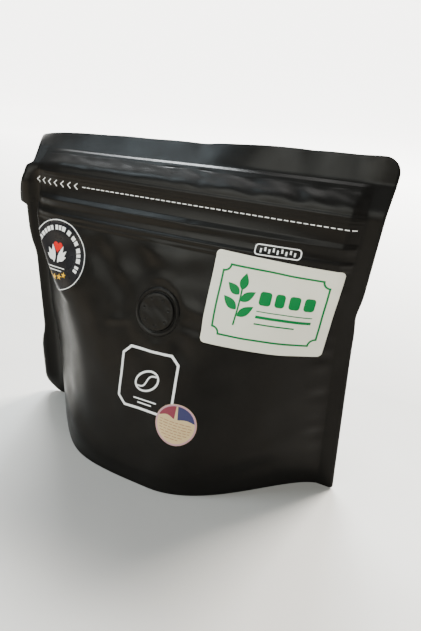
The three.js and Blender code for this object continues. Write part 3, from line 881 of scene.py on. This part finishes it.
class POUCH_OT_film(bpy.types.Operator):
    """Builds the film of the pouch"""
    bl_idname = "pouch.film"
    bl_label = "Film"

    def execute(self, context):
        film, _, shades = chosen_settings(context)
        make_pouch(film, black_film("matt black film", shades.film, grain=0.28, uneven=9.0,
                                    grain_share=0.35, bump_height=0.035, scuffs=0.25,
                                    specular=0.1))
        return {'FINISHED'}


class POUCH_OT_valve(bpy.types.Operator):
    """Builds the degassing valve"""
    bl_idname = "pouch.valve"
    bl_label = "Valve"

    def execute(self, context):
        film, sizes, shades = chosen_settings(context)
        make_valve(film, sizes.valve / MM,
                   black_film("valve film", shades.valve, grain=0.25, uneven=3.0, bump_height=0.03,
                              scuffs=0.2, specular=0.12))
        return {'FINISHED'}


class POUCH_OT_film_print(bpy.types.Operator):
    """Prints the emblem, the tear line with its arrows, and the zipper mark on the film"""
    bl_idname = "pouch.film_print"
    bl_label = "Print on the film"

    def execute(self, context):
        film, _, shades = chosen_settings(context)
        ink = finish_material("white ink", shades.white_ink, (0.45, 0.6), grain=0.15,
                              bump_height=0.012, mottled=0.05)
        emblem = Decal(film, EMBLEM_AT, turn=1.0)
        emblem.stroke(chamfered_box(30.6, 4.0), 1.25, closed=True)
        bean_turn = 32
        emblem.stroke(turned(circle(1.0, 44) * (6.6, 4.7), bean_turn), 1.0, closed=True)
        t = np.linspace(-1, 1, 22)
        emblem.stroke(turned(np.stack([6.0 * t, 1.3 * np.sin(pi * t)], -1), bean_turn), 0.8)
        for row, half in ((-10.2, 6.5), (-12.2, 4.0)):
            emblem.rule(-half, half, row, 0.7)
        emblem.piece("emblem_print", ink, "film")

        tear = Decal(film, TEAR_LINE_AT)
        for start in np.arange(-55.5, 82.0, 2.9):
            tear.rule(start, start + 2.0, 0, 0.42)
        for k in range(7):
            tip = -87.5 + 4.5 * k
            tear.stroke(fine_path([(tip + 1.9, 1.55), (tip, 0), (tip + 1.9, -1.55)]), 0.45)
        tear.piece("tear_line_print", ink, "film")

        mark = Decal(film, ZIPPER_MARK_AT, turn=0.6)
        mark.stroke(rounded_box(20.4, 4.3, 1.5), 0.55, closed=True)
        for k in range(9):
            a, b = -7.6 + 1.9 * k, 0.35 if k % 2 else -0.35
            mark.stroke(fine_path([(a, b - 0.85), (a, b + 0.85)]), 0.75)
        mark.piece("zipper_mark_print", ink, "film")
        return {'FINISHED'}


class POUCH_OT_rectangular_label(bpy.types.Operator):
    """Sticks on the rectangular label with its green print"""
    bl_idname = "pouch.rectangular_label"
    bl_label = "Rectangular label"

    def execute(self, context):
        film, sizes, shades = chosen_settings(context)
        width, height = sizes.label_width / MM, sizes.label_height / MM
        paper = finish_material("label paper", shades.paper, (0.42, 0.55), grain=0.2, uneven=7.0,
                                grain_share=0.4, bump_height=0.03, mottled=0.04)
        green = finish_material("green ink", shades.green, (0.38, 0.5), grain=0.2, mottled=0.10,
                                specular=0.15)
        sheet = Decal(film, LABEL_AT, LABEL_TURN, thickness=LABEL_SHEET)
        sheet.patch(rounded_box(width, height, 2.2, 8, 50), rings=34, edge=0.006)
        sheet.piece("label_sheet", paper, "white_label", "rectangular_label")

        ink = Decal(film, LABEL_AT, LABEL_TURN, height=LABEL_SHEET, thickness=0.06, sunk=0.05)
        # A frame with a quarter circle cut out of each corner
        corner, notch = (width / 2 - 4.8, height / 2 - 5.6), arc(3.2, 0, 90, 8)
        bends = []
        for side in ((1, 1), (-1, 1), (-1, -1), (1, -1)):
            bend = (corner - notch) * side
            bends.append(bend[::-1] if side[0] == side[1] else bend)
        ink.stroke(fine_path(np.concatenate([*bends, bends[0][:1]]))[:-1], 0.95, closed=True)
        stem = 0.8 * np.sin(np.linspace(0, 2.2, 18)) - 14.6
        ink.stroke(np.stack([stem, np.linspace(-10.5, 7.0, 18)], -1), 0.8)
        for row, side, size in ((-6.0, 1, 8.5), (-3.2, -1, 8.5), (0.8, 1, 8.0), (3.4, -1, 7.5)):
            ink.leaf(size, 3.9, (-14.2 + 0.5 * side, row), -52 * side)
        ink.patch(leaf(8.0, 4.0, (-13.9, 5.6), -6), centre=(-13.5, 9.0))
        for k, block in enumerate((5.4, 4.4, 5.0, 4.8)):
            middle = (-2.6 + 6.6 * k, 3.6)
            ink.patch(rounded_box(block, 6.2, 1.4, 5, 4, middle), centre=middle)
        for row, end, line in ((-2.4, 19.8, 0.45), (-5.0, 19.8, 1.3), (-8.2, 13.0, 0.7)):
            ink.rule(-5.4, end, row, line)
        ink.piece("label_print", green, "white_label")
        return {'FINISHED'}


class POUCH_OT_round_sticker(bpy.types.Operator):
    """Sticks on the black round sticker with its ring, heart, leaves and stars"""
    bl_idname = "pouch.round_sticker"
    bl_label = "Round sticker"

    def execute(self, context):
        film, sizes, shades = chosen_settings(context)
        radius = sizes.round_sticker / 2 / MM
        black = finish_material("black sticker", shades.sticker, (0.24, 0.34), grain=0.2,
                                uneven=8.0, specks=0.02, specular=0.15)
        white = finish_material("sticker white", shades.white_ink, (0.3, 0.42), grain=0.15,
                                bump_height=0.01, mottled=0.04)
        inks = ("heart red", shades.red), ("star yellow", shades.yellow)
        red, yellow = (finish_material(name, shade, (0.3, 0.42), bump_height=0.01, specular=0.2)
                       for name, shade in inks)

        def layer(thickness):
            return Decal(film, ROUND_AT, height=ROUND_SHEET, thickness=thickness, sunk=0.05)

        disc = Decal(film, ROUND_AT, thickness=ROUND_SHEET)
        disc.patch(circle(radius, 180), rings=40, edge=0.006)
        disc.piece("round_sticker_sheet", black, "round_label", "round_sticker")

        ink = layer(0.05)
        ink.stroke(circle(radius - 0.8, 180), 0.45, closed=True)
        draw = np.random.default_rng(81)
        angle, last_angle = 212.0, -28
        while angle > last_angle:
            size = draw.uniform(5.0, 9.5)
            ink.stroke(arc(radius - 4.9, angle, angle - size, 8), 2.5)
            angle -= size + (6.5 if draw.uniform() < 0.2 else 2.6)
        for side in (-1, 1):
            for lean, size, foot in ((16, 9.6, -3.8), (40, 8.2, -3.0), (66, 6.0, -2.4)):
                ink.leaf(size, 2.7, (1.2 * side, foot), -lean * side)
        for row, half in ((-6.2, 6.6), (-7.9, 4.6)):
            ink.rule(-half, half, row, 0.5)
        ink.piece("round_sticker_print", white, "round_label")

        middle = layer(0.055)
        middle.patch(heart(6.4, (0.0, 4.6)), rings=4, centre=(0.0, 4.4))
        middle.piece("heart_print", red, "round_label")
        stars = layer(0.055)
        for k in range(5):
            turn = radians(270 + 17 * (k - 2))
            at = (11.6 * cos(turn), 11.6 * sin(turn))
            stars.patch(star(1.75, at), rings=2, centre=at)
        stars.piece("star_print", yellow, "round_label")
        return {'FINISHED'}


class POUCH_OT_small_sticker(bpy.types.Operator):
    """Sticks on the small beige sticker with its two dark fields and its lines"""
    bl_idname = "pouch.small_sticker"
    bl_label = "Small sticker"

    def execute(self, context):
        film, sizes, shades = chosen_settings(context)
        radius = sizes.small_sticker / 2 / MM

        def satin(name, base):
            return finish_material(name, base, (0.3, 0.42), grain=0.2, bump_height=0.015,
                                   mottled=0.08, specular=0.2)

        def layer(level):
            return Decal(film, SMALL_AT, SMALL_TURN, height=SMALL_SHEET,
                         thickness=0.02 + 0.015 * level, sunk=0.02)

        disc = Decal(film, SMALL_AT, SMALL_TURN, thickness=SMALL_SHEET)
        disc.patch(circle(radius, 96), rings=14, edge=0.01)
        disc.piece("small_sticker_sheet", satin("beige sticker", shades.beige), "small_label",
                   "small_sticker")
        rim = layer(2)
        rim.stroke(circle(radius - 0.55, 96), 0.8, closed=True)
        rim.piece("small_sticker_rim", satin("lilac ink", shades.lilac), "small_label")
        # Each field: an arc along the rim, down to a corner and back to the arc's start
        for name, shade, start, end, corner_at, step in (
                ("wine", shades.wine, 97, 163, None, 6), ("navy", shades.navy, 17, 93, 0.55, 10)):
            edge = arc(radius - 0.95, start, end)
            corner = (corner_at or edge[0, 0], 3.0)
            outline = np.concatenate([edge, fine_path([edge[-1], corner], 10)[1:],
                                      fine_path([corner, edge[0]], step)[1:-1]])
            field = layer(1)
            field.patch(outline, rings=5, centre=((edge[0, 0] + edge[-1, 0]) / 2, 5.2))
            field.piece(f"small_sticker_{name}", satin(f"{name} ink", shade), "small_label")
        lines = layer(1)
        draw = np.random.default_rng(91)
        for row in np.arange(1.2, -8.6, -1.45):
            reach = np.sqrt((radius - 2.2) ** 2 - row * row)
            start = -reach
            while start < reach - 0.8:
                size = min(draw.uniform(1.0, 2.8), reach - start)
                lines.rule(start, start + size, row, 0.34)
                start += size + 0.6
        lines.piece("small_sticker_lines", satin("brown ink", shades.brown), "small_label")
        return {'FINISHED'}


WALL_GLOW = (1.0, 0.985, 0.95, 1.0)
CARD_GLOW = (0.66, 0.54, 0.37, 1.0)

# Lights, as (name, place, height above the frame's origin that it aims at, width, depth, watts,
# tint), in metres
LIGHTS = (
    ("window_light", (-0.53, 0.75, 1.04), 0.15, 0.52, 0.38, 42.0, (0.90, 0.96, 1.0)),
    ("back_light", (-0.24, 0.92, 1.17), 0.15, 0.40, 0.36, 32.0, (0.78, 0.91, 1.0)),
    ("top_light", (-0.66, -0.19, 1.13), 0.15, 0.30, 0.30, 5.0, (0.70, 0.87, 1.0)),
    ("crest_light", (-0.22, 0.12, 1.40), 0.15, 0.45, 0.30, 5.5, (0.94, 0.97, 1.0)),
    ("rear_light", (0.45, 0.85, 1.15), 0.0, 0.5, 0.4, 96.0, (1.0, 0.97, 0.92)),
    ("front_light", (-0.48, -1.25, 0.80), 0.10, 1.0, 0.8, 16.5, (0.90, 0.95, 0.92)),
    ("high_light", (-0.40, -1.12, 1.05), 0.15, 0.6, 0.5, 6.0, (0.84, 0.95, 1.0)),
    ("fill_light", (0.80, -0.80, 0.90), 0.08, 0.9, 0.9, 2.0, (1.0, 0.97, 0.92)),
)


def make_floor(shade):
    """Flat out to a distance, then swept up in a quarter circle behind the pouch. It glows behind
    the pouch as a bright wall would, and warmly in front at the left, where the film mirrors it."""
    front, reach, rise, radius, half_width = -4.0, 2.6, 1.5, 0.9, 5.0
    bend = np.linspace(0, pi / 2, 24)
    y = np.concatenate([[front], reach - radius + radius * np.sin(bend), [reach]])
    z = np.concatenate([[0.0], radius * (1 - np.cos(bend)), [radius + rise]])
    points = [(side, *place) for place in zip(y.tolist(), z.tolist())
              for side in (-half_width, half_width)]
    material = finish_material("studio floor", shade, (0.6, 0.7), grain=2.0,
                               uneven=60.0, mottled=0.01)
    nodes = Nodes(material.node_tree)
    across, depth = nodes.add("ShaderNodeSeparateXYZ", {0: nodes.place()}).outputs[:2]
    card = nodes.math('MULTIPLY', nodes.spread(across, -0.25, 0.05, 1.0, 0.0),
                      nodes.spread(depth, -0.7, -0.3, 1.0, 0.0))
    near = nodes.blend(card, (0.0, 0.0, 0.0, 1.0), CARD_GLOW)
    shader = material.node_tree.nodes["Principled BSDF"].inputs
    glow = nodes.blend(nodes.spread(depth, 0.1, 1.0), near, WALL_GLOW)
    nodes.feed(shader["Emission Color"], glow)
    nodes.feed(shader["Emission Strength"], 5.0)
    faces = quads_of(np.arange(len(points)).reshape(-1, 2)).tolist()
    floor = new_object("studio_floor", points, faces, material)


def hang_light(scene, name, at, aim_height, width, depth, watts, tint):
    target = (0.0, 0.0, aim_height)
    light = bpy.data.lights.new(name, 'AREA')
    light.shape = 'RECTANGLE'
    light.size, light.size_y = width, depth
    light.energy = watts
    light.color = tint
    lamp = bpy.data.objects.new(name, light)
    lamp.location = at
    aim = Vector(target) - Vector(at)
    lamp.rotation_euler = aim.to_track_quat('-Z', 'Y').to_euler()
    scene.collection.objects.link(lamp)


class POUCH_OT_stage(bpy.types.Operator):
    """Sets the floor, the lights, the surroundings and the camera"""
    bl_idname = "pouch.stage"
    bl_label = "Stage"

    def execute(self, context):
        scene = context.scene
        make_floor(scene.pouch_colours.floor)
        for light in LIGHTS:
            hang_light(scene, *light)
        scene.world = bpy.data.worlds.new("studio")
        scene.world.use_nodes = True
        surroundings = scene.world.node_tree.nodes["Background"].inputs
        surroundings["Color"].default_value = (1.0, 0.98, 0.95, 1.0)
        surroundings["Strength"].default_value = 0.20

        # Camera: where the photograph was taken from, fitted to the pouch's outline
        camera = bpy.data.cameras.new("camera")
        camera.sensor_width = 36.0
        camera.lens = 28.505
        camera.clip_start = 0.01
        view = bpy.data.objects.new("camera", camera)
        view.location = (0.11225, -0.20771, 0.19188)
        view.rotation_euler = (radians(64.13), radians(-2.71), radians(25.66))
        scene.collection.objects.link(view)
        scene.camera = view
        return {'FINISHED'}


OPERATORS = (POUCH_OT_film, POUCH_OT_valve, POUCH_OT_film_print, POUCH_OT_rectangular_label,
             POUCH_OT_round_sticker, POUCH_OT_small_sticker, POUCH_OT_stage)


class POUCH_PT_panel(bpy.types.Panel):
    """Lists the pouch's settings and its building steps"""
    bl_idname = "POUCH_PT_panel"
    bl_label = "Coffee Pouch"
    bl_space_type = 'VIEW_3D'
    bl_region_type = 'UI'
    bl_category = "Pouch"

    def draw(self, context):
        for group in (context.scene.pouch_sizes, context.scene.pouch_colours):
            for key in group.__annotations__:
                self.layout.prop(group, key)
        for operator in OPERATORS:
            self.layout.operator(operator.bl_idname)


CLASSES = (PouchSizes, PouchColours, *OPERATORS, POUCH_PT_panel)


def register():
    for each in CLASSES:
        bpy.utils.register_class(each)
    bpy.types.Scene.pouch_sizes = PointerProperty(type=PouchSizes)
    bpy.types.Scene.pouch_colours = PointerProperty(type=PouchColours)


def unregister():
    del bpy.types.Scene.pouch_colours
    del bpy.types.Scene.pouch_sizes
    for each in reversed(CLASSES):
        bpy.utils.unregister_class(each)


def main():
    register()
    for operator in OPERATORS:
        area, name = operator.bl_idname.split(".")
        getattr(getattr(bpy.ops, area), name)()


if __name__ == "__main__":
    main()
